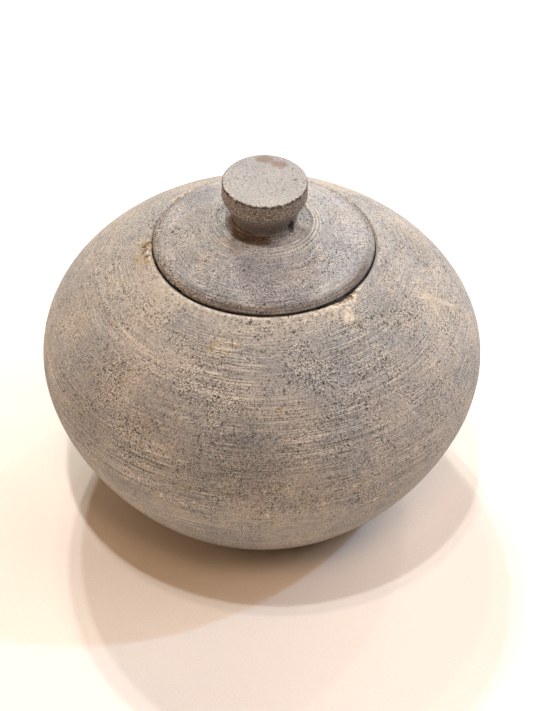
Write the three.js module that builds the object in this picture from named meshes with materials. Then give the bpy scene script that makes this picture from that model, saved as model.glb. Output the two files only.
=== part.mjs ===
// A squat round bowl for go stones, turned from stone, with a sunken lid and a knob bonded to the lid.
// Millimetres. +Z is up, and the origin is the middle of the face that the bowl stands on.
// Every piece is round about the Z axis, so each one is an outline of radius and height, turned once.
import * as THREE from "three";

// Bowl, outside. A handle is how far a curve holds on to the direction that it starts or ends with.
const bodyRadius = 70;
const equatorHeight = 50;
const shoulderHandle = 21.5;
const bellyHandle = 19.3;
const mouthHeight = 91.5;
const mouthSlope = 33;
const mouthHandle = 11.6;
const footRadius = 41.5;
const footSlope = 24;
const footHandle = 8.9;
const footRecessRadius = 31;
const footRecessDepth = 1.5;

// Bowl, inside
const hollowRadius = 62.3;
const hollowShoulderHandle = 18;
const hollowBellyHandle = 20;
const throatRadius = 29.5;
const throatHeight = 79;
const throatSlope = 18;
const throatHandle = 12;
const floorRadius = 30;
const floorHeight = 10.5;
const floorHandle = 18;

// Recess that the lid drops into, with a ledge at its foot
const recessRadius = 35.2;
const ledgeHeight = 85;
const mouthChamfer = 0.3;

// Lid
const lidRadius = 34.4;
const seatGap = 0.3;
const lidSideTop = 90.6;
const lidEdgeRound = 3.2;
const domeSlope = 23;
const domeBulge = 0.4;
const ridgeRadius = 15.2;
const ridgeHeight = 100.2;
const plateauHeight = 99.7;
const collarFootRadius = 10.9;
const collarRadius = 10.2;
const collarHeight = 102;
const socketRadius = 5.3;
const socketDepth = 6.4;
const undersideHollow = 3.6;
const seatRingInner = 28;

// Knob, and the cement under it
const cementThickness = 0.4;
const cementBead = 0.35;
const spigotRadius = 5;
const spigotLength = 6.2;
const neckRadius = 9.9;
const neckWaist = 0.5;
const discRadius = 13.1;
const discTopRadius = 12.9;
const discUnderside = 107.9;
const knobTop = 115.1;
const edgeBreak = 0.5;

// Facets round the axis
const bowlFacets = 72;
const lidFacets = 64;
const knobFacets = 40;

const point = (radius, height) => new THREE.Vector2(radius, height);

// A direction in the outline, as degrees up from the line that points away from the axis.
function direction(degrees) {
  const angle = THREE.MathUtils.degToRad(degrees);
  return point(Math.cos(angle), Math.sin(angle));
}

// A smooth stretch of outline: it leaves start towards startAngle, and reaches end from the side of endAngle.
function curveBetween(start, startAngle, startHandle, end, endAngle, endHandle, steps) {
  const leave = start.clone().addScaledVector(direction(startAngle), startHandle);
  const arrive = end.clone().addScaledVector(direction(endAngle), endHandle);
  return new THREE.CubicBezierCurve(start, leave, arrive, end).getPoints(steps);
}

// A round from one point to another, bent towards the corner between them.
function roundedCorner(start, corner, end, steps) {
  return new THREE.QuadraticBezierCurve(start, corner, end).getPoints(steps);
}

// An outline turned about the Z axis. The outline climbs on the outside, with the solid on its left.
function turned(name, outline, facets, material) {
  const geometry = new THREE.LatheGeometry(outline, facets);
  geometry.rotateX(Math.PI / 2);
  const mesh = new THREE.Mesh(geometry, material);
  mesh.name = name;
  return mesh;
}

function bowlOutline() {
  const widest = point(bodyRadius, equatorHeight);
  const foot = point(footRadius, 0);
  const lip = point(recessRadius + mouthChamfer, mouthHeight - mouthChamfer / 2);
  const throat = point(throatRadius, throatHeight);
  const hollowWidest = point(hollowRadius, equatorHeight);
  const floorEdge = point(floorRadius, floorHeight);
  return [
    point(0, footRecessDepth),
    point(footRecessRadius - footRecessDepth, footRecessDepth),
    point(footRecessRadius, 0),
    ...curveBetween(foot, footSlope, footHandle, widest, -90, bellyHandle, 14),
    ...curveBetween(widest, 90, shoulderHandle, lip, -mouthSlope, mouthHandle, 13).slice(1),
    point(recessRadius, mouthHeight - mouthChamfer),
    point(recessRadius, ledgeHeight),
    point(throatRadius, ledgeHeight),
    ...curveBetween(throat, -throatSlope, throatHandle, hollowWidest, 90, hollowShoulderHandle, 9),
    ...curveBetween(hollowWidest, -90, hollowBellyHandle, floorEdge, 0, floorHandle, 10).slice(1),
    point(0, floorHeight),
  ];
}

function lidOutline() {
  const seat = ledgeHeight + seatGap;
  const roundCentre = point(lidRadius - lidEdgeRound, lidSideTop);
  const domeStart = roundCentre.addScaledVector(direction(90 - domeSlope), lidEdgeRound);
  const domeEnd = point(ridgeRadius + 0.6, ridgeHeight - 0.3);
  const domeMiddle = domeStart.clone().lerp(domeEnd, 0.5);
  domeMiddle.y += 2 * domeBulge;
  return [
    point(0, seat + undersideHollow),
    point(seatRingInner - 8, seat + undersideHollow - 0.6),
    point(seatRingInner - 1, seat + 0.8),
    point(seatRingInner, seat),
    point(lidRadius - 2 * edgeBreak, seat),
    point(lidRadius, seat + 2 * edgeBreak),
    ...roundedCorner(point(lidRadius, lidSideTop), point(lidRadius, domeStart.y - 0.6), domeStart, 4),
    ...roundedCorner(domeStart, domeMiddle, domeEnd, 5).slice(1),
    point(ridgeRadius, ridgeHeight),
    point(ridgeRadius - 0.7, plateauHeight + 0.1),
    point(collarFootRadius, plateauHeight),
    point(collarRadius + 0.2, plateauHeight + 0.8),
    point(collarRadius, collarHeight),
    point(socketRadius, collarHeight),
    point(socketRadius, collarHeight - socketDepth),
    point(0, collarHeight - socketDepth),
  ];
}

function cementOutline() {
  const top = collarHeight + cementThickness;
  return [
    point(socketRadius, collarHeight),
    point(neckRadius, collarHeight),
    point(neckRadius + cementBead, collarHeight + cementThickness / 2),
    point(neckRadius, top),
    point(socketRadius, top),
    point(socketRadius, collarHeight),
  ];
}

function knobOutline() {
  const bottom = collarHeight + cementThickness;
  const waist = point(neckRadius - 2 * neckWaist, (bottom + discUnderside) / 2);
  const spigotEnd = bottom - spigotLength;
  return [
    point(0, spigotEnd),
    point(spigotRadius - edgeBreak, spigotEnd),
    point(spigotRadius, spigotEnd + edgeBreak),
    point(spigotRadius, bottom),
    ...roundedCorner(point(neckRadius, bottom), waist, point(neckRadius + 1, discUnderside - 0.4), 5),
    point(discRadius - 2 * edgeBreak, discUnderside),
    point(discRadius, discUnderside + edgeBreak),
    point(discTopRadius, knobTop - edgeBreak),
    point(discTopRadius - edgeBreak, knobTop),
    point(0, knobTop),
  ];
}

const bowlStone = new THREE.MeshStandardMaterial({ color: 0x8f887c, roughness: 0.85, metalness: 0 });
const lidStone = new THREE.MeshStandardMaterial({ color: 0x7d7972, roughness: 0.75, metalness: 0 });
const knobStone = new THREE.MeshStandardMaterial({ color: 0x9a938a, roughness: 0.9, metalness: 0 });
const cement = new THREE.MeshStandardMaterial({ color: 0x7a4a30, roughness: 0.8, metalness: 0 });

const goStoneBowl = new THREE.Group();
goStoneBowl.add(turned("bowl", bowlOutline(), bowlFacets, bowlStone));

const lidAssembly = new THREE.Group();
lidAssembly.add(turned("lid", lidOutline(), lidFacets, lidStone));
lidAssembly.add(turned("knob", knobOutline(), knobFacets, knobStone));
lidAssembly.add(turned("knob_cement", cementOutline(), knobFacets, cement));
goStoneBowl.add(lidAssembly);

export default goStoneBowl;
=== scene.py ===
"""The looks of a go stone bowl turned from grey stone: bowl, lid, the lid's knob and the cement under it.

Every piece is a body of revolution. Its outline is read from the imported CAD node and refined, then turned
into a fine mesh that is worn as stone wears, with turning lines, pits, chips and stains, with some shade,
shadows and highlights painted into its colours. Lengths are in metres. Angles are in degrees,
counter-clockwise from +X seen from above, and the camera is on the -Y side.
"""

import math

import bpy
import numpy as np
from mathutils import Matrix, Vector


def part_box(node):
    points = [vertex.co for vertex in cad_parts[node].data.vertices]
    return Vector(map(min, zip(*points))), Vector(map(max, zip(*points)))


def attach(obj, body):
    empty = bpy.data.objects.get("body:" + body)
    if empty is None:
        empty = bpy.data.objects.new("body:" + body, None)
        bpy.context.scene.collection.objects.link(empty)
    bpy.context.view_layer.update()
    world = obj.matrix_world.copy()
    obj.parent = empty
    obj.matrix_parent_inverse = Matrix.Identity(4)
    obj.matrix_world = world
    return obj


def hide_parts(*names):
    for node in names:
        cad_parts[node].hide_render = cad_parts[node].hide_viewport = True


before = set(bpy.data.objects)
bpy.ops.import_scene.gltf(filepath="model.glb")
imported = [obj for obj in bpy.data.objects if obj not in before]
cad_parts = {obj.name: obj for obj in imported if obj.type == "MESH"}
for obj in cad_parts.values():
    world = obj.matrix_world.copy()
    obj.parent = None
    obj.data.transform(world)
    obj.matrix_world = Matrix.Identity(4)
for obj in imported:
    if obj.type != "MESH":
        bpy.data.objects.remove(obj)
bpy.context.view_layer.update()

MM = 0.001
COARSENESS = 1.0


# ---------------------------------------------------------------- outlines read from the CAD nodes

MERGE = 0.01 * MM        # CAD vertices closer than this are one point
CORNER = math.radians(19)    # the outline bends less than this within a curve, and more at a corner
TRACE = 0.1 * MM         # spacing of the points along a refined outline


def cad_outline(node):
    """(radius, height) points of a turned node's outline, and whether the outline closes on itself.

    An open outline starts at its lowest point on the axis. The solid lies to the left of the way it runs.
    """
    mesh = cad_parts[node].data
    keys = [tuple(round(c / MERGE) for c in vertex.co) for vertex in mesh.vertices]
    places = {key: (vertex.co.x, vertex.co.z) for key, vertex in zip(keys, mesh.vertices)}
    links = {}
    for edge in mesh.edges:
        a, b = (keys[i] for i in edge.vertices)
        if a != b and a[1] == b[1] == 0 and min(a[0], b[0]) >= 0:
            links.setdefault(a, set()).add(b)
            links.setdefault(b, set()).add(a)
    on_axis = [key for key in links if key[0] == 0]
    path = [min(on_axis or links, key=lambda key: (key[2], key[0]))]
    onward = links[path[0]]
    while onward:
        path.append(max(onward))
        onward = links[path[-1]] - set(path)
    return np.array([places[key] for key in path]), not on_axis


def unit(vectors):
    return vectors / np.maximum(np.linalg.norm(vectors, axis=-1, keepdims=True), 1e-12)


def refined(points, closed):
    """A closely spaced curve through the points of an outline, with its corners left sharp."""
    targets = np.vstack([points[1:], points[:1]]) if closed else points[1:]
    starts = points if closed else points[:-1]
    chords = targets - starts
    lengths = np.linalg.norm(chords, axis=1)
    along = unit(chords)
    blended = unit(np.roll(along, 1, axis=0) * lengths[:, None] + along * np.roll(lengths, 1)[:, None])
    turn = np.arccos(np.clip((np.roll(along, 1, axis=0) * along).sum(1), -1, 1))
    curved = turn < CORNER
    if not closed:
        curved[0] = False
    leaving = np.where(curved[:, None], blended, along)
    reaching = np.where(np.roll(curved, -1)[:, None], np.roll(blended, -1, axis=0), along)
    if not closed:
        reaching[-1] = along[-1]
    stretches = []
    for start, end, out, back, length in zip(starts, targets, leaving, reaching, lengths):
        t = np.arange(0, 1, TRACE / length)[:, None]
        stretches.append(
            (2 * t**3 - 3 * t**2 + 1) * start
            + (t**3 - 2 * t**2 + t) * out * length
            + (3 * t**2 - 2 * t**3) * end
            + (t**3 - t**2) * back * length
        )
    return np.vstack(stretches + [targets[-1:]])


def arc_length(curve):
    return np.concatenate([[0], np.cumsum(np.linalg.norm(np.diff(curve, axis=0), axis=1))])


def resampled(curve, arcs):
    own = arc_length(curve)
    return np.stack([np.interp(arcs, own, curve[:, 0]), np.interp(arcs, own, curve[:, 1])], axis=1)


def averaged(values, half, closed, mirror):
    """Weighted running mean along a curve. An open curve goes on past its ends as its mirror image."""
    kernel = np.hanning(2 * half + 3)[1:-1]
    if closed:
        padded = np.vstack([values[-half - 1:-1], values, values[1:half + 1]])
    else:
        padded = np.vstack([values[half:0:-1] * mirror, values, values[-2:-half - 2:-1] * mirror])
    columns = [np.convolve(column, kernel / kernel.sum(), "valid") for column in padded.T]
    return np.stack(columns, axis=1)


def worn_outline(node, corner_wear):
    """A node's outline at close, even spacing, its corners rounded over a length of about corner_wear."""
    points, closed = cad_outline(node)
    curve = refined(points, closed)
    count = int(arc_length(curve)[-1] / TRACE)
    curve = resampled(curve, np.linspace(0, arc_length(curve)[-1], count))
    half = max(1, round(corner_wear / TRACE))
    return averaged(curve, half, closed, np.array([-1.0, 1.0])), closed


# ---------------------------------------------------------------- seeded noise


def noise(places, seed):
    """Smooth noise from -1 to 1 at each place, varying over a distance of about 1."""
    base = np.floor(places)
    share = (places - base).astype(np.float32)
    share = share * share * (3 - 2 * share)
    cell = base.astype(np.int64)
    total = np.zeros(places.shape[:-1], np.float32)
    for corner in range(8):
        step = [(corner >> axis) & 1 for axis in range(3)]
        weight = np.ones_like(total)
        mixed = np.full(total.shape, seed * 7919 + 17, np.int64)
        for axis, prime in enumerate((73856093, 19349663, 83492791)):
            mixed ^= (cell[..., axis] + step[axis]) * prime
            weight *= share[..., axis] if step[axis] else 1 - share[..., axis]
        mixed = ((mixed ^ (mixed >> 13)) * 1274126177) & 0x7FFFFFFF
        mixed = ((mixed ^ (mixed >> 15)) * 668265263) & 0x7FFFFFFF
        total += weight * ((mixed >> 7 & 0xFFFF) / 32767.5 - 1)
    return total


def smoothstep(low, high, values):
    t = np.clip((values - low) / (high - low), 0, 1)
    return t * t * (3 - 2 * t)


# ---------------------------------------------------------------- turned surfaces


BEND_PER_ROW = math.radians(14)    # the most that the outline turns between two rows
# Some marks carry painted light and shade as well as stains: the dark, near-black and rust-brown marks also
# hold painted shade, and the pale mark painted highlights.
MARKS = ("dirt_and_shade", "fresh", "pale", "ochre", "tan", "rust_and_shade", "blue", "clay", "grit", "lined", "black_dirt_and_shade")


class Turned:
    """A turned piece as a grid of points: one row per step along the outline, one column per angle."""

    def __init__(self, node, columns, fine, coarse, corner_wear, skin):
        """Rows are a distance `fine` apart on the skin, and `coarse` apart on the hidden rest.

        `skin` gives the two arc lengths between which the outline is skin.
        """
        self.node = node
        curve, self.closed = worn_outline(node, corner_wear)
        arc = arc_length(curve)
        first, last = skin(curve, arc)
        tangent = unit(np.gradient(curve, arc, axis=0))
        bend = np.linalg.norm(np.gradient(tangent, arc, axis=0), axis=1)
        spacing = np.where((arc >= first) & (arc <= last), fine, coarse) * COARSENESS
        spacing = np.minimum(spacing, np.maximum(BEND_PER_ROW / np.maximum(bend, 1), 0.4 * fine))
        spacing = averaged(spacing[:, None], 8, self.closed, np.ones(1))[:, 0]
        count = np.concatenate([[0], np.cumsum(np.diff(arc) / spacing[1:])])
        rows = int(count[-1]) + 1
        self.arc = np.interp(np.linspace(0, count[-1], rows), count, arc)
        self.outline = resampled(curve, self.arc)
        if not self.closed:
            self.outline[[0, -1], 0] = 0
        along = np.stack([np.interp(self.arc, arc, tangent[:, i]) for i in (0, 1)], axis=1)
        self.normal = unit(np.stack([along[:, 1], -along[:, 0]], axis=1))
        self.columns = int(columns / COARSENESS)
        self.turn = np.arange(self.columns) / self.columns * 2 * np.pi
        self.round = np.stack([np.cos(self.turn), np.sin(self.turn)], axis=1)
        self.base = self.spun(self.outline)
        self.outward = self.spun(self.normal)
        self.skin = smoothstep(first - MM, first, self.arc) * (1 - smoothstep(last, last + MM, self.arc))
        self.rise = np.zeros(self.base.shape[:2], np.float32)
        self.sunk = np.zeros_like(self.rise)
        self.marks = {name: np.zeros_like(self.rise) for name in MARKS}

    def spun(self, pairs):
        """(radius, height) pairs turned round the axis into a grid of 3-D vectors."""
        grid = np.empty((len(pairs), self.columns, 3), np.float32)
        grid[..., :2] = pairs[:, None, :1] * self.round[None]
        grid[..., 2] = pairs[:, None, 1]
        return grid

    def row(self, radius=None, height=None, within=None):
        """The row nearest to a radius or a height, among the rows between two arc lengths."""
        wanted, axis = (radius, 0) if height is None else (height, 1)
        away = np.abs(self.outline[:, axis] - wanted)
        low, high = within or self.face
        away = np.where((self.arc >= low) & (self.arc <= high), away, np.inf)
        return int(away.argmin())

    def spot(self, angle, row):
        """The point of the bare surface at an angle in degrees and a row."""
        turn = math.radians(angle)
        radius, height = self.outline[row]
        return np.array([radius * math.cos(turn), radius * math.sin(turn), height])

    def near(self, angle, row, reach):
        """Grid indices of the part of the surface within reach of a spot."""
        rows = np.flatnonzero(np.abs(self.arc - self.arc[row]) <= reach)
        lag = (self.turn - math.radians(angle) + np.pi) % (2 * np.pi) - np.pi
        radius = max(self.outline[rows, 0].min(), 1e-9)
        columns = np.flatnonzero(np.abs(lag) <= reach / radius)
        return np.ix_(rows, columns)

    def above(self, low, high):
        """For each row, 0 at one height and beyond it, 1 at another, and a smooth step between them."""
        return smoothstep(low, high, self.outline[:, 1])[:, None]

    def beyond(self, low, high):
        """The same by distance from the axis."""
        return smoothstep(low, high, self.outline[:, 0])[:, None]

    def towards(self, angle, low, high):
        """For each column, 1 where it faces an angle, stepping between two cosines of the angle away."""
        return smoothstep(low, high, np.cos(self.turn - math.radians(angle)))[None]

    def field(self, size, seed):
        """Noise over the whole piece, with features of the given size."""
        return noise(self.base / size, seed)

    def rings(self, spacing, seed, run=1.5):
        """Noise that is quick along the outline and slow round the piece, as a turning tool's marks are."""
        places = np.empty_like(self.base)
        places[..., 0] = (self.arc / spacing)[:, None]
        places[..., 1:] = self.round[None] * run
        return noise(places, seed)

    def dent(self, angle, row, radius, depth, grain):
        """Sinks a pit into the surface. `grain` makes its edge uneven."""
        window = self.near(angle, row, radius * 1.6)
        away = np.linalg.norm(self.base[window] - self.spot(angle, row), axis=-1) / radius
        away = away * (1 + 0.35 * grain[window])
        hollow = np.clip(1 - away**2, 0, 1)
        self.sunk[window] = np.maximum(self.sunk[window], depth * hollow)
        self.mark("dirt_and_shade", window, smoothstep(0, 0.55, hollow))

    def mark(self, name, window, amount):
        """Raises a mark to an amount, where it is less, in a part of the surface."""
        self.marks[name][window] = np.maximum(self.marks[name][window], amount)

    def spread(self, name, amount):
        """Raises a mark to an amount, where it is less, over the whole piece."""
        self.marks[name] = np.maximum(self.marks[name], amount)

    def paint(self, name, angle, row, size, strength, grain):
        """A stain of a given size round a spot, its edge broken up by the grain."""
        window = self.near(angle, row, size * 1.5)
        away = np.linalg.norm(self.base[window] - self.spot(angle, row), axis=-1) / size
        self.mark(name, window, strength * smoothstep(0, 0.6, 1 - away + 0.45 * grain[window]))

    def scratch(self, name, start, end, size, strength, grain):
        """A thin mark drawn between two spots, each an (angle, height in mm)."""
        (from_angle, from_height), (to_angle, to_height) = start, end
        rows = self.row(height=from_height * MM), self.row(height=to_height * MM)
        length = np.linalg.norm(self.spot(to_angle, rows[1]) - self.spot(from_angle, rows[0]))
        for share in np.arange(0, 1, 0.6 * size / length):
            row = self.row(height=(from_height + share * (to_height - from_height)) * MM)
            fade = strength * math.sqrt(math.sin(math.pi * min(share + 0.05, 1)))
            self.paint(name, from_angle + share * (to_angle - from_angle), row, size, fade, grain)

    def pepper(self, seed, count, sizes, depth_share, grain, likely):
        """Scatters pits over the skin, close together where `likely` is high."""
        random = np.random.default_rng(seed)
        area = self.outline[:, 0] * np.gradient(self.arc) * (self.skin > 0.5)
        rows = random.choice(len(area), count, p=area / area.sum())
        columns = random.integers(0, self.columns, count)
        keep = random.random(count) < likely[rows, columns]
        radii = np.exp(random.uniform(math.log(sizes[0]), math.log(sizes[1]), count))
        for row, column, radius in zip(rows[keep], columns[keep], radii[keep]):
            angle = math.degrees(self.turn[column])
            self.dent(angle, int(row), radius, radius * depth_share, grain)

    def shape(self):
        """Fixes the places of the points from the rise and the pits. Chips are cut after this."""
        lift = (self.rise - self.sunk)[..., None]
        self.points = self.base + self.outward * lift

    def chip(self, angle, row, lean, radius, bite, grain, rough=0.16, mark="fresh"):
        """Breaks a chip off: points inside a rough ball, centred outside the stone, move to its surface.

        `lean` is the direction, as (outwards, up), in which the ball's centre lies from the spot.
        """
        turn = math.radians(angle)
        out, up = lean / np.linalg.norm(lean)
        away = np.array([out * math.cos(turn), out * math.sin(turn), up])
        centre = self.spot(angle, row) + away * (radius - bite)
        window = self.near(angle, row, radius * 1.8)
        offset = self.points[window] - centre
        distance = np.linalg.norm(offset, axis=-1)
        limit = radius * (1 + rough * grain[window])
        inside = distance < limit
        moved = centre + offset * (limit / np.maximum(distance, 1e-9))[..., None]
        self.points[window] = np.where(inside[..., None], moved, self.points[window])
        self.mark(mark, window, smoothstep(0, 0.12 * bite, limit - distance))

    def piece(self, name, body, material):
        """The Blender object made from the grid, with the marks as point attributes."""
        rows = len(self.arc)
        inner = slice(None) if self.closed else slice(1, rows - 1)

        def flat(grid):
            body_part = grid[inner].reshape(-1, *grid.shape[2:])
            if self.closed:
                return body_part
            return np.concatenate([grid[0, :1], body_part, grid[-1, :1]])

        mesh = bpy.data.meshes.new(name)
        fill_mesh(mesh, flat(self.points), rows if self.closed else rows - 2, self.columns, self.closed)
        arcs = np.repeat(self.arc[:, None], self.columns, axis=1)
        for key, grid in {**self.marks, "arc": arcs}.items():
            attribute = mesh.attributes.new(key, "FLOAT", "POINT")
            attribute.data.foreach_set("value", flat(grid).astype(np.float32))
        mesh.materials.append(material)
        obj = bpy.data.objects.new(name, mesh)
        bpy.context.scene.collection.objects.link(obj)
        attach(obj, body)
        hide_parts(self.node)
        return obj


def fill_mesh(mesh, places, rows, columns, closed):
    """Joins a grid of points into faces, with a fan at each end of an open outline."""
    first = 0 if closed else 1
    grid = first + np.arange(rows * columns).reshape(rows, columns)
    right = np.roll(grid, -1, axis=1)
    upper = np.roll(grid, -1, axis=0)
    quads = np.stack([grid, right, np.roll(right, -1, axis=0), upper], axis=2)
    quads = (quads if closed else quads[:-1]).reshape(-1)
    corners, sizes = [quads], [np.full(len(quads) // 4, 4)]
    if not closed:
        start = np.stack([np.zeros(columns, int), right[0], grid[0]], axis=1).reshape(-1)
        end = np.stack([np.full(columns, len(places) - 1), grid[-1], right[-1]], axis=1).reshape(-1)
        corners += [start, end]
        sizes += [np.full(2 * columns, 3)]
    corners, sizes = np.concatenate(corners), np.concatenate(sizes)
    mesh.vertices.add(len(places))
    mesh.vertices.foreach_set("co", places.astype(np.float32).reshape(-1))
    mesh.loops.add(len(corners))
    mesh.loops.foreach_set("vertex_index", corners.astype(np.int32))
    mesh.polygons.add(len(sizes))
    mesh.polygons.foreach_set("loop_start", (np.cumsum(sizes) - sizes).astype(np.int32))
    mesh.update(calc_edges=True)
    mesh.validate()
    mesh.shade_smooth()


# ---------------------------------------------------------------- materials


class Finish:
    """A node material built step by step. Each method adds a node and returns its output."""

    def __init__(self, name):
        self.material = bpy.data.materials.new(name)
        self.material.use_nodes = True
        self.tree = self.material.node_tree
        self.surface = self.tree.nodes["Principled BSDF"]
        self.place = self.add("ShaderNodeTexCoord", {}).outputs["Object"]

    def add(self, kind, values, **settings):
        node = self.tree.nodes.new(kind)
        for key, value in settings.items():
            setattr(node, key, value)
        for key, value in values.items():
            self.give(node.inputs[key], value)
        return node

    def give(self, socket, value):
        if isinstance(value, bpy.types.NodeSocket):
            self.tree.links.new(value, socket)
        else:
            socket.default_value = value

    def noise(self, size, detail=2.0, roughness=0.5, place=None):
        """Noise from 0 to 1 with features of the given size."""
        place = place or self.place
        values = {"Vector": place, "Scale": 1 / size, "Detail": detail, "Roughness": roughness}
        return self.add("ShaderNodeTexNoise", values).outputs["Fac"]

    def shifted(self, distance):
        """The place a distance away, for a noise that must not follow another of the same size."""
        return self.vector("ADD", self.place, (distance,) * 3)

    def mark(self, name):
        return self.add("ShaderNodeAttribute", {}, attribute_name=name).outputs["Fac"]

    def ramp(self, value, low, high, start=0.0, end=1.0):
        values = {"Value": value, "From Min": low, "From Max": high, "To Min": start, "To Max": end}
        return self.add("ShaderNodeMapRange", values, interpolation_type="SMOOTHSTEP").outputs["Result"]

    def maths(self, operation, *values):
        return self.add("ShaderNodeMath", dict(enumerate(values)), operation=operation).outputs[0]

    def vector(self, operation, *values):
        return self.add("ShaderNodeVectorMath", dict(enumerate(values)), operation=operation).outputs[0]

    def times(self, a, b):
        return self.maths("MULTIPLY", a, b)

    def plus(self, a, b):
        return self.maths("ADD", a, b)

    def less(self, a, b):
        return self.maths("SUBTRACT", a, b)

    def mix(self, amount, base, other):
        """Colour `base`, taken towards `other` by the amount."""
        values = {0: amount, 6: colour(base), 7: colour(other)}
        return self.add("ShaderNodeMix", values, data_type="RGBA").outputs[2]

    def scaled(self, base, factor):
        """Colour `base`, brightened or darkened by a factor."""
        return self.add("ShaderNodeVectorMath", {0: base, "Scale": factor}, operation="SCALE").outputs[0]

    def vein(self, value, level, width):
        """1 where a noise passes through a level, falling to 0 within a width: thin winding lines."""
        return self.ramp(self.maths("ABSOLUTE", self.less(value, level)), width, 0.0)

    def turning(self, spacing, run=2.0):
        """Noise drawn out into fine lines round the piece, a given distance apart."""
        around = self.vector("NORMALIZE", self.vector("MULTIPLY", self.place, (1, 1, 0)))
        slow = self.vector("MULTIPLY", around, (run, run, 0))
        lines = self.times(self.mark("arc"), 1 / spacing)
        along = self.add("ShaderNodeCombineXYZ", {"Z": lines}).outputs[0]
        return self.noise(1.0, detail=1.5, place=self.vector("ADD", slow, along))

    def bumped(self, *layers):
        """A normal from layers of (height from 0 to 1, depth in metres)."""
        normal = None
        for height, depth in layers:
            values = {"Height": height, "Distance": depth, "Strength": 1.0}
            if normal is not None:
                values["Normal"] = normal
            normal = self.add("ShaderNodeBump", values).outputs["Normal"]
        return normal

    def done(self, base, roughness, normal, specular=0.35):
        self.give(self.surface.inputs["Base Color"], colour(base))
        self.give(self.surface.inputs["Roughness"], roughness)
        self.give(self.surface.inputs["Normal"], normal)
        self.surface.inputs["Specular IOR Level"].default_value = specular
        return self.material


def colour(value):
    """A colour socket, or an RGB triple with the alpha that a socket wants."""
    return value if isinstance(value, bpy.types.NodeSocket) else (*value, 1.0)


CREAM = (0.70, 0.61, 0.49)
BROKEN = (0.42, 0.33, 0.24)
OCHRE = (0.42, 0.28, 0.13)
TAN = (0.46, 0.38, 0.29)
BLUE_GREY = (0.215, 0.215, 0.225)
DARK_DIRT_AND_SHADE = (0.048, 0.042, 0.038)
RUST_AND_SHADE = (0.11, 0.065, 0.045)
CLAY = (0.25, 0.19, 0.15)
BLACK_DIRT_AND_SHADE = (0.010, 0.008, 0.007)


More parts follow.
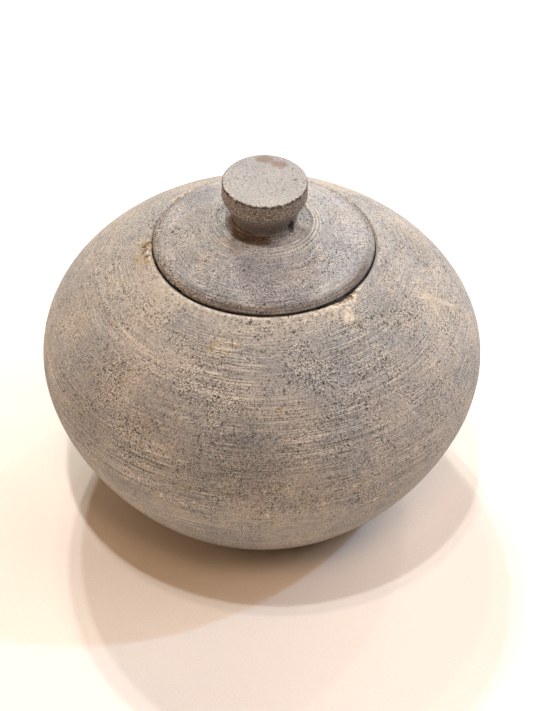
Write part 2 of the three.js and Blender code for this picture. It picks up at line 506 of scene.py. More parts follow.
def stone(name, cool, warm, patchy, grit, lines):
    """Gritty grey stone: clouds of two greys, dark and pale grains, turning lines and the piece's marks.

    `patchy` is the strength of the tan and blue-grey patches, `grit` of the grains and `lines` of the
    turning lines.
    """
    f = Finish(name)
    base = f.mix(f.ramp(f.noise(22 * MM, detail=5, roughness=0.62), 0.38, 0.62), cool, warm)
    blotch = f.noise(6 * MM, detail=4, roughness=0.65)
    base = f.mix(f.ramp(blotch, 0.52, 0.70, 0.0, 0.45 * patchy), base, TAN)
    base = f.mix(f.ramp(blotch, 0.48, 0.32, 0.0, 0.45 * patchy), base, BLUE_GREY)
    base = f.mix(f.times(f.mark("tan"), 0.65), base, TAN)
    base = f.mix(f.times(f.mark("blue"), 0.45), base, BLUE_GREY)
    # The rust-brown mark: rust spots on the bowl, and painted shade on the lid's rounded rim, at the
    # collar's foot, in chip hollows and on the knob's side.
    base = f.mix(f.mark("rust_and_shade"), base, RUST_AND_SHADE)

    crowd = f.ramp(f.noise(8 * MM, detail=3, roughness=0.6), 0.36, 0.64, 0.55, 1.05)
    crowd = f.times(f.maths("MINIMUM", f.plus(crowd, f.times(f.mark("grit"), 0.9)), 1.5), grit)
    grain = f.noise(0.34 * MM, detail=3, roughness=0.7)
    base = f.scaled(base, f.plus(1.0, f.times(f.ramp(grain, 0.30, 0.70, -0.92, 0.92), crowd)))
    pale = f.ramp(f.noise(0.50 * MM, detail=1.5, place=f.shifted(7.3 * MM)), 0.57, 0.68)
    dark = f.ramp(f.noise(0.55 * MM, detail=1.5, place=f.shifted(3.1 * MM)), 0.57, 0.67)
    hole = f.ramp(f.noise(0.90 * MM, detail=1.5), 0.63, 0.71)
    crack = f.noise(1.5 * MM, detail=2.0, roughness=0.55, place=f.shifted(5.7 * MM))
    base = f.mix(f.times(pale, f.times(crowd, 0.65)), base, CREAM)
    base = f.mix(f.times(f.vein(crack, 0.50, 0.022), f.times(crowd, 0.45)), base, CREAM)
    base = f.mix(f.times(f.vein(crack, 0.44, 0.020), f.times(crowd, 0.45)), base, DARK_DIRT_AND_SHADE)
    base = f.mix(f.times(dark, crowd), base, DARK_DIRT_AND_SHADE)
    base = f.mix(f.times(hole, crowd), base, DARK_DIRT_AND_SHADE)

    line = f.turning(0.85 * MM, run=1.3)
    thread = f.turning(0.32 * MM, run=2.0)
    where = f.times(f.plus(f.ramp(f.noise(13 * MM), 0.4, 0.65, 0.2, 0.7), f.mark("lined")), lines)
    base = f.mix(f.times(f.vein(line, 0.52, 0.022), where), base, CREAM)
    base = f.mix(f.times(f.vein(line, 0.46, 0.022), where), base, DARK_DIRT_AND_SHADE)
    base = f.scaled(base, f.plus(1.0, f.times(f.ramp(thread, 0.3, 0.7, -0.7, 0.7), where)))

    broken = f.mix(f.ramp(f.noise(0.8 * MM, detail=3), 0.42, 0.60), CREAM, BROKEN)
    base = f.mix(f.mark("fresh"), base, broken)
    # The pale mark: pale stone beside chips and on veins, and painted highlights on the mouth's front edge,
    # the rings round the knob and beside the collar.
    base = f.mix(f.times(f.mark("pale"), 0.9), base, CREAM)
    base = f.mix(f.mark("clay"), base, CLAY)
    base = f.mix(f.times(f.mark("ochre"), 0.8), base, OCHRE)
    # The dark mark: dirt in pits and dark clouds, and painted shade in gaps, creases, grooves, under the
    # knob's head and in its shadow on the lid.
    base = f.mix(f.times(f.mark("dirt_and_shade"), 0.82), base, DARK_DIRT_AND_SHADE)
    # The near-black mark: mostly painted shade, in the gap between lid and bowl, under the break and in
    # chip hollows; a few black crumbs on the rim.
    base = f.mix(f.mark("black_dirt_and_shade"), base, BLACK_DIRT_AND_SHADE)
    rough = f.ramp(grain, 0.3, 0.7, 0.70, 0.92)
    hollows = (f.less(1.0, dark), 0.05 * MM), (f.less(1.0, hole), 0.10 * MM)
    return f.done(base, rough, f.bumped(*hollows, (grain, 0.08 * MM), (thread, 0.03 * MM)))


def cement():
    """Dull brown cement, lumpy and stained."""
    f = Finish("cement")
    lump = f.noise(1.2 * MM, detail=4, roughness=0.65)
    base = f.mix(f.ramp(lump, 0.35, 0.65), (0.12, 0.075, 0.05), (0.22, 0.145, 0.095))
    speck = f.noise(0.4 * MM, detail=2)
    base = f.mix(f.times(f.ramp(speck, 0.55, 0.7), 0.5), base, (0.30, 0.23, 0.18))
    # Lighter grey: painted light on the cement's lit side.
    base = f.mix(f.times(f.mark("tan"), 0.7), base, (0.27, 0.25, 0.23))
    # Near-black here is painted shade in the chip at the knob's foot.
    base = f.mix(f.mark("black_dirt_and_shade"), base, (0.035, 0.018, 0.015))
    return f.done(base, f.ramp(lump, 0.3, 0.7, 0.8, 0.95), f.bumped((lump, 0.15 * MM)))


# ---------------------------------------------------------------- the pieces
#
# In the tables below, angles are in degrees, and heights, radii, sizes, widths and depths in millimetres.


def bowl_skin(curve, arc):
    """From the middle of the foot to the ledge that the lid sits on."""
    return 0.0, arc[curve[:, 1].argmax()] + 11 * MM


def make_bowl():
    s = Turned("bowl", 1000, 0.43 * MM, 1.1 * MM, 0.35 * MM, bowl_skin)
    top = s.outline[:, 1].argmax()
    widest = s.outline[:top, 0].argmax()
    foot = int(np.abs(s.arc - (s.arc[widest] - 62 * MM)).argmin())
    s.face = (s.arc[foot], s.arc[top])
    fine = s.field(0.55 * MM, 1)
    clumps = s.field(9 * MM, 2) + 0.6 * s.field(3.5 * MM, 3)
    s.rise += 0.10 * MM * s.field(34 * MM, 4) * s.skin[:, None]
    s.rise += 0.035 * MM * s.field(6 * MM, 5)
    patches = smoothstep(-0.15, 0.35, s.field(22 * MM, 6))
    s.rise += 0.014 * MM * s.rings(0.9 * MM, 7) * (0.3 + 0.7 * patches)
    s.rise += 0.008 * MM * s.rings(2.3 * MM, 8) * (0.3 + 0.7 * patches)
    s.pepper(9, 9000, (0.24 * MM, 0.42 * MM), 0.5, fine, smoothstep(-0.2, 0.9, clumps))
    s.pepper(10, 1100, (0.36 * MM, 0.62 * MM), 0.45, fine, smoothstep(-0.1, 0.9, clumps))
    close_mouth(s, top)
    s.rise *= s.above(0.2 * MM, 3 * MM)
    paint_mouth_dirt_shade_and_highlight(s, top, fine)
    stain_bowl(s, fine)
    for angle, height, size in ((-177, 90.8, 0.7), (-173, 90.2, 0.5), (-169, 91, 0.6), (-171, 88.8, 0.4)):
        s.dent(angle, s.row(height=height * MM), size * MM, 0.6 * size * MM, fine)
    s.shape()
    chip_bowl(s, top, s.field(1.3 * MM, 11) + 0.5 * fine)
    cool, warm = (0.305, 0.293, 0.278), (0.41, 0.363, 0.312)
    finish = stone("bowl_stone", cool, warm, patchy=1.0, grit=0.84, lines=0.46)
    return s.piece("turned_bowl", "bowl", finish)


def close_mouth(s, top):
    """The mouth closes in on the lid, most at the front, and less beside the break at the front right."""
    below = s.arc - s.arc[top]
    wall = smoothstep(0.1 * MM, 0.7 * MM, below) * (1 - smoothstep(5.0 * MM, 5.8 * MM, below))
    front = s.towards(-90, 0.72, 1.0)
    broken = s.towards(-50, 0.96, 1.0)
    back = s.towards(90, -0.35, 0.15)
    s.rise += MM * wall[:, None] * (0.80 + 0.3 * front - 0.3 * broken - 0.12 * back)


def paint_mouth_dirt_shade_and_highlight(s, top, grain):
    """The recess is darkened all round, partly dirt and partly painted shade in the gap under the lid, and
    painted near-black under the break as shadow. Along the front, the mouth's edge and the shoulder below
    it are painted pale as highlight.
    """
    below = s.arc - s.arc[top]
    recess_dirt_and_shade = (smoothstep(0.5 * MM, 1.2 * MM, below) * (1 - smoothstep(5.5 * MM, 8 * MM, below)))[:, None]
    # Dark recess: partly dirt, partly painted shade in the gap under the lid.
    s.spread("dirt_and_shade", recess_dirt_and_shade * (0.9 + 0.3 * grain))
    # Painted shadow: near-black in the recess under the break.
    s.spread("black_dirt_and_shade", 0.85 * s.towards(-49, 0.95, 0.985) * recess_dirt_and_shade)
    # Painted highlight on the front of the mouth's edge, and painted light on the shoulder below it.
    edge = smoothstep(0.9 * MM, 0.2 * MM, np.abs(below + 0.3 * MM))[:, None]
    front = s.towards(-97, 0.25, 0.85)
    s.spread("pale", edge * front * (0.7 + 0.9 * grain))
    front_shoulder_light = (smoothstep(-9 * MM, -1 * MM, below) * (below < 0))[:, None] * front
    s.spread("pale", front_shoulder_light * (0.28 + 0.45 * grain + 0.25 * s.field(3 * MM, 13)))


# Angle, height, size and strength. A weak entry of the dark mark is a dark cloud.
BOWL_STAINS = {
    "ochre": ((-99, 87, 1.0, 0.6), (-109, 86, 1.2, 0.8), (-110, 85, 1.0, 0.8), (-103, 84.6, 0.7, 0.6),
              (-150, 80, 1.2, 0.6), (-84, 75, 0.9, 0.9), (-55, 67.5, 1.0, 0.6), (-178, 90.6, 2.6, 0.7),
              (-172, 89.6, 2.6, 0.6), (-166, 90.4, 2.2, 0.6), (-14, 88, 1.2, 0.5)),
    "rust_and_shade": ((-178, 90.6, 1.8, 0.8), (-174, 90.7, 1.3, 0.9), (-169, 90.6, 1.0, 0.8),
             (-165, 91, 0.9, 0.8)),
    "tan": ((-12, 79, 9, 0.8), (-6, 73, 7, 0.6), (-28, 82, 8, 0.5), (-50, 88, 4, 0.8), (-56, 90, 3, 0.7),
            (125, 86, 9, 0.6), (165, 80, 12, 0.4), (60, 84, 9, 0.5), (-104, 86.5, 6, 0.9),
            (-84, 75, 1.8, 1.0), (-165, 75, 12, 0.5), (-140, 85, 9, 0.5), (-75, 74, 8, 0.4),
            (-90, 40, 9, 0.4)),
    "blue": ((-120, 72, 9, 0.7), (-70, 76, 8, 0.6), (-40, 70, 9, 0.7), (-88, 60, 10, 0.55),
             (-102, 62, 8, 0.5), (-150, 62, 8, 0.4), (-20, 60, 8, 0.5), (90, 60, 10, 0.5),
             (170, 55, 9, 0.5), (30, 70, 8, 0.5), (-88, 82, 7, 0.6)),
    "dirt_and_shade": ((-92, 62, 18, 0.36), (-76, 56, 14, 0.2), (-108, 57, 14, 0.2), (-122, 68, 11, 0.18),
            (-30, 84, 9, 0.12), (-140, 72, 11, 0.2), (-140, 58, 12, 0.2), (15, 82, 12, 0.24),
            (18, 70, 16, 0.18), (110, 84, 14, 0.2), (140, 84, 9, 0.1)),
    "pale": ((160, 86, 9, 0.09), (-162, 66, 12, 0.05)),
    "grit": ((-137, 71, 9, 0.7), (-111, 80, 8, 0.5), (-101.7, 77, 7, 0.9), (-76, 85, 5, 0.8),
             (-71, 81, 8, 1.0), (-64, 74, 7, 0.6), (-47, 77, 7, 0.6), (-26, 83, 6, 0.4),
             (-62, 43, 7, 0.7), (-56, 34, 7, 0.6), (-78, 68, 5, 0.5), (-70, 65, 6, 0.4),
             (-52, 86, 6, 0.6), (-125, 60, 10, 0.5), (-100, 67, 8, 0.5), (120, 70, 9, 0.6),
             (60, 60, 8, 0.5)),
}
# Start and end, each an angle and a height, then width and strength.
BOWL_SCRATCHES = (
    ((-108, 85.6), (-96, 86.0), 0.5, 0.8), ((-98.5, 83.3), (-87, 83.4), 0.45, 0.7),
    ((-100, 82.3), (-90, 82.5), 0.4, 0.5), ((-95, 70.4), (-84, 70.8), 0.4, 0.5),
    ((-16, 82.5), (-11, 79.6), 1.1, 0.42), ((-11, 79.6), (-5, 71.5), 1.1, 0.42),
    ((-13, 79.0), (-17, 76.0), 0.9, 0.35), ((-48, 70), (-44, 62), 0.9, 0.28),
)


def stain_bowl(s, grain):
    """Ochre spots, a tan shoulder with pale veins on the right, dark, blue-grey and gritty patches."""
    for name, stains in BOWL_STAINS.items():
        for angle, height, size, strength in stains:
            s.paint(name, angle, s.row(height=height * MM), size * MM, strength, grain)
    for start, end, size, strength in BOWL_SCRATCHES:
        s.scratch("pale", start, end, size * MM, strength, grain)
    foot = s.above(47 * MM, 38 * MM)
    s.marks["grit"] = s.marks["grit"] * (1 - 0.5 * foot) - 0.25 * foot
    front = s.towards(-88, 0.70, 0.97) * (1 - foot)
    lower_left = s.towards(-135, 0.75, 0.97) * s.above(68 * MM, 55 * MM)
    s.marks["lined"] += 0.5 * (front + lower_left) * smoothstep(-0.4, 0.4, s.field(11 * MM, 12))


# Chips out of the mouth's edge: angle, radius and depth.
MOUTH_CHIPS = (
    (-68, 1.2, 0.4), (-63, 1.5, 0.5), (-58.5, 1.2, 0.6), (-52.5, 1.6, 0.9), (-50, 1.5, 1.1),
    (-47, 2.2, 1.8), (-44, 1.8, 1.6), (-40.5, 1.8, 0.7), (-36, 1.5, 0.4), (39, 1.7, 0.7),
    (133, 1.6, 0.7), (136, 1.4, 0.9), (140, 2.0, 0.9), (143, 1.3, 0.6), (-177, 2.2, 0.8),
    (-172, 1.5, 0.5), (-168, 2.0, 0.8),
)
# Freshly broken and pale places beside the chips: angle, height and size.
MOUTH_FRESH = (
    (-51, 88.2, 1.7), (-48.5, 89.2, 1.5), (-54, 90.4, 2.0), (-45, 90.4, 1.6), (-41, 90.6, 1.3),
    (-58, 90.9, 1.2), (134, 90.8, 1.3), (138, 90.6, 1.5), (142, 90.8, 1.2), (131, 91, 1.0),
)
MOUTH_PALE = (
    (-51.5, 90.6, 1.1), (-49.8, 88.9, 0.7), (-49, 87.9, 0.7), (-55, 91.1, 0.9), (-60, 90.9, 0.9),
    (-70, 90.4, 0.9), (-47.5, 89.8, 0.8), (-53.5, 89.9, 0.7), (-78, 90.8, 0.6), (-64, 90.9, 0.7),
)
# Angle, height, radius and depth.
BELLY_SCARS = (
    (-115, 44.5, 1.4, 0.45), (-112.5, 45.2, 1.0, 0.3), (-109.5, 43.6, 1.2, 0.35), (-106, 45.6, 0.8, 0.25),
    (-88, 42.5, 1.3, 0.35), (-79, 54, 0.8, 0.25), (-74, 46.5, 1.4, 0.4), (-72, 47.4, 1.0, 0.3),
    (-66, 51, 1.4, 0.35), (-63, 55, 0.9, 0.25), (-59, 40, 1.2, 0.4), (-55, 45, 0.9, 0.3),
    (-121, 48, 0.8, 0.3),
)


def chip_bowl(s, top, grain):
    """The mouth's edge is broken at the front right and nicked elsewhere. The belly has a few scars."""
    inward_up = np.array([-0.5, 1.0])
    for angle, radius, bite in MOUTH_CHIPS:
        s.chip(angle, top, inward_up, radius * MM, bite * MM, grain, rough=0.3)
    for angle, height, size in MOUTH_FRESH:
        s.paint("fresh", angle, s.row(height=height * MM), size * MM, 1.0, 1.3 * grain)
    for angle, height, size in MOUTH_PALE:
        s.paint("pale", angle, s.row(height=height * MM), size * MM, 0.95, 2.0 * grain)
    for angle, height, radius, bite in BELLY_SCARS:
        row = s.row(height=height * MM)
        s.chip(angle, row, s.normal[row], radius * MM, bite * MM, grain)


def lid_skin(curve, arc):
    """From the rim's lower edge to the top of the collar round the knob."""
    return arc[curve[:, 0].argmax()] - 7 * MM, arc[curve[:, 1].argmax()] + 0.6 * MM


# Chips out of the lid's rim: angle, height over the bowl's mouth, radius and depth.
RIM_CHIPS = (
    (-140.5, 0.1, 1.0, 0.4), (-138.5, 0.3, 1.3, 0.6), (-136.8, 0.2, 0.9, 0.4),
    (-131.0, 0.5, 0.8, 0.45), (-129.5, 0.2, 0.7, 0.3), (-50, 0.0, 1.2, 0.4),
)


def make_lid():
    s = Turned("lid", 720, 0.3 * MM, 0.8 * MM, 0.3 * MM, lid_skin)
    s.face = (s.arc[s.outline[:, 0].argmax()], s.arc[s.outline[:, 1].argmax()])
    fine = s.field(0.5 * MM, 21)
    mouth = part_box("bowl")[1].z
    s.rise += 0.03 * MM * s.field(5 * MM, 22) * s.skin[:, None]
    s.rise += 0.05 * MM * s.field(20 * MM, 23) * s.skin[:, None]
    cut_rings(s, mouth)
    s.pepper(24, 1300, (0.18 * MM, 0.34 * MM), 0.45, fine, smoothstep(-0.1, 0.8, s.field(8 * MM, 25)))
    for angle, radius, size in ((-179, 28, 0.7), (180, 26, 0.6), (178, 26.8, 0.5), (-176, 27.2, 0.45)):
        s.dent(angle, s.row(radius=radius * MM), size * MM, 0.4 * size * MM, fine)
    set_back_side(s)
    paint_rim_shade_and_crumbs(s, mouth, fine)
    paint_lid_stains_shade_and_light(s, fine)
    s.shape()
    grain = s.field(1.0 * MM, 26) + 0.5 * fine
    # Painted shade: the rim's chips are painted near-black in their hollows.
    for angle, lift, radius, bite in RIM_CHIPS:
        row = s.row(height=mouth + lift * MM)
        s.chip(angle, row, np.array([1.0, -0.5]), radius * MM, bite * MM, grain, rough=0.4, mark="black_dirt_and_shade")
    collar = s.row(radius=10.25 * MM)
    # Painted shade: the collar's chip is dark brown in its hollow.
    s.chip(-32, collar, np.array([1.0, 0.5]), 2.0 * MM, 1.2 * MM, grain, mark="rust_and_shade")
    cool, warm = (0.295, 0.293, 0.293), (0.385, 0.368, 0.352)
    finish = stone("lid_stone", cool, warm, patchy=0.9, grit=0.85, lines=0.38)
    return s.piece("turned_lid", "lid", finish)


def set_back_side(s):
    """The lid's side stands in from where the CAD has it, most at the front and hardly at the back."""
    side = smoothstep(0.5, 0.95, s.normal[:, 0])[:, None]
    s.rise -= MM * side * (0.35 + 0.25 * s.towards(-90, 0.72, 1.0) - 0.31 * s.towards(90, -0.35, 0.15))


# Radius and strength of the raised rings round the knob, whose crests are painted as highlights.
RING_RIDGES_AND_HIGHLIGHTS = ((13.2, 0.3), (15.2, 0.9), (16.2, 0.8), (17.3, 0.6), (18.3, 0.3), (19.4, 0.3))


def cut_rings(s, mouth):
    """Lines cut by the lathe: fine ones near the knob and rim, and raised rings round the knob, with
    painted highlights on their crests and painted shade in the grooves beside them, fading out towards the
    back left.
    """
    radius = s.outline[:, 0]
    near_knob = smoothstep(20 * MM, 16 * MM, radius) * smoothstep(11 * MM, 13 * MM, radius)
    near_rim = smoothstep(26 * MM, 30 * MM, radius)
    strength = (0.010 + 0.020 * near_knob + 0.006 * near_rim) * s.skin
    s.rise += MM * strength[:, None] * s.rings(0.7 * MM, 27)
    s.rise += 0.5 * MM * strength[:, None] * s.rings(1.7 * MM, 28)
    lit_side = s.towards(-15, -0.9, 0.7)
    upper = (s.outline[:, 1] > mouth) * s.skin
    for place, pale in RING_RIDGES_AND_HIGHLIGHTS:
        ring = np.exp(-(((radius - place * MM) / (0.22 * MM)) ** 2)) * upper
        ring = ring[:, None] * lit_side * (0.85 + 0.3 * s.rings(0.5 * MM, 30, run=4.0))
        s.rise += 0.09 * MM * pale * ring
        # Painted highlight on the ring's crest; the groove beside it gets painted shade.
        s.spread("pale", 0.8 * pale * ring)
        groove = np.exp(-(((radius - (place - 0.5) * MM) / (0.2 * MM)) ** 2)) * upper
        s.spread("dirt_and_shade", 0.4 * pale * groove[:, None] * lit_side)


# Crumbs of ochre and black along the rim: angle, height over the bowl's mouth, size and strength.
RIM_CRUMBS = {
    "ochre": ((-142, 0.9, 0.6, 0.6), (-139.6, 1.1, 0.8, 0.9), (-138, 0.8, 0.7, 0.8),
              (-147, 0.8, 0.5, 0.6), (-133, 1.0, 0.5, 0.4), (-24, 0.9, 0.6, 0.7)),
    "black_dirt_and_shade": ((-143.5, 0.9, 0.45, 0.8), (-141, 0.6, 0.5, 0.8), (-146, 0.7, 0.4, 0.8),
             (-134.5, 0.8, 0.5, 0.8), (-152, 0.8, 0.4, 0.8)),
}


def paint_rim_shade_and_crumbs(s, mouth, grain):
    """A brown lined band round the rim, painted shade of its rounded-over edge, a dark line painted along a
    crease at the front as shade, crumbs along the rim, and the lid's side painted dark as shade in the gap
    below the bowl's mouth.
    """
    # Painted shade: the rim's rounded-over edge is painted brown all round.
    rounded_edge_shade = s.beyond(31 * MM, 33.3 * MM) - 0.3 * s.beyond(33.2 * MM, 34.1 * MM)
    rounded_edge_shade = rounded_edge_shade * (0.6 + 0.4 * s.field(7 * MM, 29))
    s.spread("rust_and_shade", 0.85 * rounded_edge_shade * s.skin[:, None])
    s.marks["lined"] += s.beyond(27 * MM, 31 * MM) * s.towards(-90, 0.2, 0.9) * 0.6
    # Painted shade in the gap: the lid's side below the bowl's mouth is painted near-black and dark on the
    # front half.
    depth = mouth - s.outline[:, 1]
    side = (s.skin * (s.outline[:, 0] > 32 * MM))[:, None] * s.towards(-90, -0.1, 0.25)
    gap_shade = smoothstep(-0.15 * MM, 0.1 * MM, depth)[:, None] * side
    gap_shade = gap_shade * smoothstep(2.6 * MM, 0.3 * MM, depth[:, None] + 1.2 * MM * s.field(2.5 * MM, 31))
    s.spread("black_dirt_and_shade", 0.9 * gap_shade)
    s.spread("dirt_and_shade", smoothstep(-0.6 * MM, 1.2 * MM, depth)[:, None] * side * 0.6)
    # Painted shade: a thin dark line along a crease at the front of the rim.
    front_crease_shade = np.exp(-(((s.outline[:, 0] - 31.3 * MM) / (0.16 * MM)) ** 2)) * (depth < 0)
    s.spread("dirt_and_shade", front_crease_shade[:, None] * s.towards(-92, 0.72, 0.95) * (0.5 + 0.5 * grain))
    for name, crumbs in RIM_CRUMBS.items():
        for angle, lift, size, strength in crumbs:
            s.paint(name, angle, s.row(height=mouth + lift * MM), size * MM, strength, 1.6 * grain)
    crumbly = s.beyond(31.5 * MM, 33 * MM) * s.towards(-155, 0.6, 0.95)
    s.marks["grit"] += 0.7 * crumbly * s.skin[:, None]


# Angle, radius, size and strength.
LID_STAINS = {
    # Of the dark patches, the first two are the knob's shadow on the lid and the next three deepen the
    # shade at the front of the rim, all painted; the last two are dark clouds.
    "dirt_and_shade": ((-95, 20, 6, 0.18), (-78, 22, 5, 0.14), (-90, 33, 6, 0.2), (-110, 33, 5, 0.2),
            (-70, 33, 5, 0.2), (140, 27, 9, 0.22), (158, 21, 7, 0.16)),
    "tan": ((-60, 24, 6, 0.5), (20, 25, 7, 0.4), (-130, 24, 6, 0.3)),
    # The pale patches are painted light on the lid beside the collar at the front right, under the knob's
    # head.
    "pale": ((-8, 12.3, 2.2, 0.3), (-25, 12.3, 2.2, 0.3), (-42, 12.3, 2.2, 0.3), (-58, 12.3, 2.2, 0.3)),
    "blue": ((170, 22, 7, 0.6), (95, 24, 9, 0.8), (-100, 22, 5, 0.6), (-80, 19, 4, 0.5),
             (-150, 26, 5, 0.5), (140, 27, 9, 0.8), (-172, 30, 6, 0.6)),
}


def paint_lid_stains_shade_and_light(s, grain):
    """A dark brown crescent at the front left of the collar's foot, painted shade from the knob, and dark,
    tan, pale and blue-grey patches, among them the knob's painted shadow and painted light beside the
    collar.
    """
    s.marks["lined"] += s.beyond(19 * MM, 16 * MM) * 0.7
    # Painted shade: the collar's foot, darkened brown at the front left.
    foot = s.beyond(12.2 * MM, 11 * MM) * s.skin[:, None]
    crescent_shade = smoothstep(0.42, 0.62, np.cos(s.turn - math.radians(-136))[None] + 0.08 * grain)
    s.spread("rust_and_shade", foot * (0.05 + 0.8 * crescent_shade))
    s.marks["grit"] -= 0.4 * foot * crescent_shade
    for name, stains in LID_STAINS.items():
        for angle, radius, size, strength in stains:
            s.paint(name, angle, s.row(radius=radius * MM), size * MM, strength, grain)


def knob_skin(curve, arc):
    """From the foot of the neck, where it stands on the cement, to the middle of the top."""
    neck = np.flatnonzero(curve[:, 1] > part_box("knob_cement")[1].z + 0.05 * MM)[0]
    return arc[neck], arc[-1]


def make_knob():
    s = Turned("knob", 400, 0.22 * MM, 0.6 * MM, 0.25 * MM, knob_skin)
    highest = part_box("knob")[1].z
    widest = s.outline[:, 0].argmax()
    s.face = (s.arc[widest] - 0.5 * MM, s.arc[-1])
    fine = s.field(0.45 * MM, 41)
    s.rise += 0.05 * MM * s.field(6 * MM, 42) * s.skin[:, None]
    s.rise += 0.03 * MM * s.field(1.2 * MM, 43) * s.skin[:, None]
    on_side = s.above(highest - 0.1 * MM, highest - 0.4 * MM)
    head = s.above(highest - 8.5 * MM, highest - 6.5 * MM)
    s.rise -= 0.7 * MM * head * s.above(highest - 4.8 * MM, highest - 6.8 * MM)
    pitted = 0.05 + 0.95 * on_side * head * np.ones_like(fine)
    s.pepper(44, 2200, (0.12 * MM, 0.26 * MM), 0.5, fine, pitted)
    s.dent(3, s.row(radius=9.1 * MM), 0.5 * MM, 0.2 * MM, fine)
    s.dent(-42, s.row(radius=0.8 * MM), 0.3 * MM, 0.12 * MM, fine)
    stain_and_shade_knob(s, on_side, head, highest, fine)
    s.shape()
    break_edge(s, highest, fine)
    lean = 0.03 * smoothstep(highest - 12 * MM, highest - 7 * MM, s.points[..., 2])
    s.points[..., 2] += lean * (s.points[..., 1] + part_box("knob")[1].y)
    cool, warm = (0.35, 0.337, 0.322), (0.385, 0.365, 0.342)
    finish = stone("knob_stone", cool, warm, patchy=0.3, grit=0.55, lines=0.15)
    return s.piece("turned_knob", "lid", finish)


def break_edge(s, highest, fine):
    """Small chips and pale crumbs along the front of the head's upper edge, and a big chip at the foot."""
    grain = s.field(0.7 * MM, 46) + 0.5 * fine
    random = np.random.default_rng(45)
    for angle in random.uniform(-185, 0, 150):
        row = s.row(height=highest - random.uniform(0.3, 0.8) * MM)
        radius = math.exp(random.uniform(math.log(0.16), math.log(0.5)))
        bite = radius * random.uniform(0.3, 0.7)
        lean = np.array([1.0, random.uniform(-0.2, 0.5)])
        s.chip(angle, row, lean, radius * MM, bite * MM, grain, rough=0.4, mark="dirt_and_shade")
    for angle in random.uniform(-175, -5, 60):
        row = s.row(height=highest - random.uniform(0.0, 0.25) * MM)
        s.paint("pale", angle, row, random.uniform(0.2, 0.5) * MM, 0.8, fine)
    foot = s.row(height=highest - 12.6 * MM, within=(s.arc[0], s.face[0]))
    # Painted shade: the foot's chip is dark brown in its hollow.
    s.chip(-33, foot, np.array([1.0, -0.1]), 1.8 * MM, 1.3 * MM, grain, mark="rust_and_shade")


# Patches at the back of the knob's top: angle, radius and size.
CLAY_PATCHES = ((98, 10.5, 2.2), (89, 10.1, 2.6), (82, 10.5, 1.6), (68, 8.8, 2.2), (57, 9.2, 2.3))


def stain_and_shade_knob(s, on_side, head, highest, grain):
    """Two brownish-pink patches at the back of the top, dull brown grit on the side, its brown partly
    painted shade, and everything under the head darkened as painted shade, most at the waist.
    """
    for angle, radius, size in CLAY_PATCHES:
        s.paint("clay", angle, s.row(radius=radius * MM), size * MM, 0.9, 0.25 * grain)
    # Partly painted shade: everything below the top's edge is painted dull brown.
    s.spread("rust_and_shade", 0.75 * on_side * (0.85 + 0.15 * grain))
    # Painted shade under the head, deepest at the waist.
    waist_shade = np.exp(-(((s.outline[:, 1] - highest + 11.2 * MM) / (1.3 * MM)) ** 2))[:, None]
    s.spread("dirt_and_shade", (1 - head) * (0.42 + 0.3 * waist_shade + 0.1 * grain))
    gritty = s.above(highest - 10.5 * MM, highest - 7 * MM)
    s.marks["grit"] += 0.9 * on_side * gritty - 0.3 * (1 - gritty) - 0.2 * (1 - on_side)


def cement_skin(curve, arc):
    """All of it."""
    return 0.0, arc[-1]


def make_cement():
    s = Turned("knob_cement", 360, 0.1 * MM, 0.3 * MM, 0.12 * MM, cement_skin)
    lumps = 0.16 * s.field(1.6 * MM, 61) + 0.08 * s.field(0.6 * MM, 62)
    s.rise += s.beyond(9.4 * MM, 10 * MM) * MM * lumps
    grain = s.field(0.6 * MM, 63)
    # Painted shade: near-black in the chip at the foot of the knob.
    s.paint("black_dirt_and_shade", -33, s.outline[:, 0].argmax(), 2.4 * MM, 1.0, 0.4 * grain)
    # Painted light: the cement is made lighter grey towards the front right, its lit side.
    s.marks["tan"] += s.towards(-25, -0.2, 0.5)
    s.shape()
    return s.piece("cement_ring", "lid", cement())


PIECES = (
    (make_bowl, "bowl_stone"),
    (make_lid, "lid_stone"),
    (make_knob, "knob_stone"),
    (make_cement, "cement"),
)
for make, slot in PIECES:
    make()


# ---------------------------------------------------------------- floor, light and camera


def make_floor():
    """A pale cream cloth, painted whiter towards the back as painted light, with faint painted shade of
    folds.
    """
    bpy.ops.mesh.primitive_plane_add(size=12.0)
    floor = bpy.context.object
    floor.name = "floor"
    f = Finish("cloth")
    weave = f.noise(0.7 * MM, detail=2)
    fold_shade = f.noise(60 * MM, detail=2)
    depth = f.add("ShaderNodeSeparateXYZ", {"Vector": f.place}).outputs["Y"]
    # Painted light: the cloth is made whiter towards the back.
    base = f.mix(f.ramp(depth, -0.05, 0.16), (0.86, 0.785, 0.70), (0.93, 0.92, 0.90))
    # Painted shade of folds: faint darker clouds.
    base = f.mix(f.ramp(fold_shade, 0.3, 0.7, 0.0, 0.04), base, (0.7, 0.6, 0.5))
    base = f.scaled(base, f.ramp(weave, 0.3, 0.7, 0.975, 1.02))
    floor.data.materials.append(f.done(base, 0.95, f.bumped((weave, 0.04 * MM)), specular=0.1))
    return floor


# Tints of light, each with its strongest part at 1.
DAYLIGHT = (0.92, 0.96, 1.0)
WHITE = (1.0, 0.97, 0.94)
WARM = (1.0, 0.87, 0.81)
AMBER = (1.0, 0.63, 0.38)
BLUE = (0.42, 0.68, 1.0)
GREEN = (0.55, 1.0, 0.85)

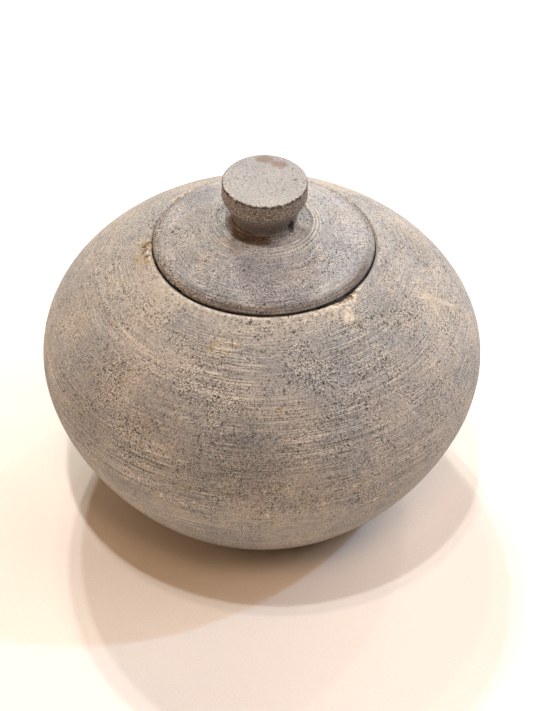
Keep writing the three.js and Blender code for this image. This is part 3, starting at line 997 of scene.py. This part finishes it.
# Each lamp: where it stands, as its shifts to the right and to the back per unit of height, how wide it
# looks in degrees, how brightly it lights the floor, and its tint.
LAMPS = (
    (-0.09, -0.06, 2.0, 0.27, DAYLIGHT),
    (-0.12, 0.02, 2.0, 0.13, WARM),
    (-0.20, 1.01, 2.0, 0.22, WHITE),
    (-0.29, 0.97, 2.0, 0.18, DAYLIGHT),
    (-0.09, 0.89, 2.0, 0.06, GREEN),
    (0.56, 0.98, 2.0, 0.06, WARM),
    (1.02, 0.28, 2.0, 0.20, BLUE),
    (0.78, 0.00, 40.0, 0.21, WARM),
    (1.24, 2.14, 40.0, 0.20, WARM),
    (-4.40, 0.00, 40.0, 0.06, AMBER),
    (0.06, -0.42, 14.0, 0.16, AMBER),
)


def make_lights():
    """Seven narrow lamps, whose shadows have crisp edges, and four broad ones that soften the rest."""
    for index, (across, behind, width, brightness, tint) in enumerate(LAMPS):
        data = bpy.data.lights.new(f"lamp_{index}", "SUN")
        towards = Vector((across, behind, 1.0))
        data.energy = math.pi * brightness * towards.length
        data.color = tint
        data.angle = math.radians(width)
        lamp = bpy.data.objects.new(data.name, data)
        lamp.rotation_euler = towards.to_track_quat("Z", "Y").to_euler()
        bpy.context.scene.collection.objects.link(lamp)


def make_world():
    """A dim warm room that looks plain white to the camera."""
    world = bpy.data.worlds.new("room")
    world.use_nodes = True
    tree = world.node_tree
    seen = tree.nodes.new("ShaderNodeLightPath")
    tint = tree.nodes.new("ShaderNodeMix")
    tint.data_type = "RGBA"
    tree.links.new(seen.outputs["Is Camera Ray"], tint.inputs[0])
    tint.inputs[6].default_value = (0.12, 0.084, 0.056, 1)
    tint.inputs[7].default_value = (1, 1, 1, 1)
    tree.links.new(tint.outputs[2], tree.nodes["Background"].inputs["Color"])
    bpy.context.scene.world = world


def make_camera():
    """The camera looks down on the bowl from the front, as a person at a table does."""
    elevation, roll = math.radians(41.5), math.radians(1.09)
    distance = 646 * MM
    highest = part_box("knob")[1].z
    aim = Vector((1.5 * MM, 0, 0.394 * highest))
    back = Vector((0, -math.cos(elevation), math.sin(elevation)))
    right, up = Vector((1, 0, 0)), Vector((0, math.sin(elevation), math.cos(elevation)))
    side = math.cos(roll) * right + math.sin(roll) * up
    upright = -math.sin(roll) * right + math.cos(roll) * up
    data = bpy.data.cameras.new("camera")
    data.lens = 101.3
    camera = bpy.data.objects.new("camera", data)
    pointing = Matrix((side, upright, back)).transposed().to_4x4()
    camera.matrix_world = Matrix.Translation(aim + back * distance) @ pointing
    bpy.context.scene.collection.objects.link(camera)
    bpy.context.scene.camera = camera


make_floor()
make_lights()
make_world()
make_camera()
bpy.context.scene.view_settings.view_transform = "Standard"
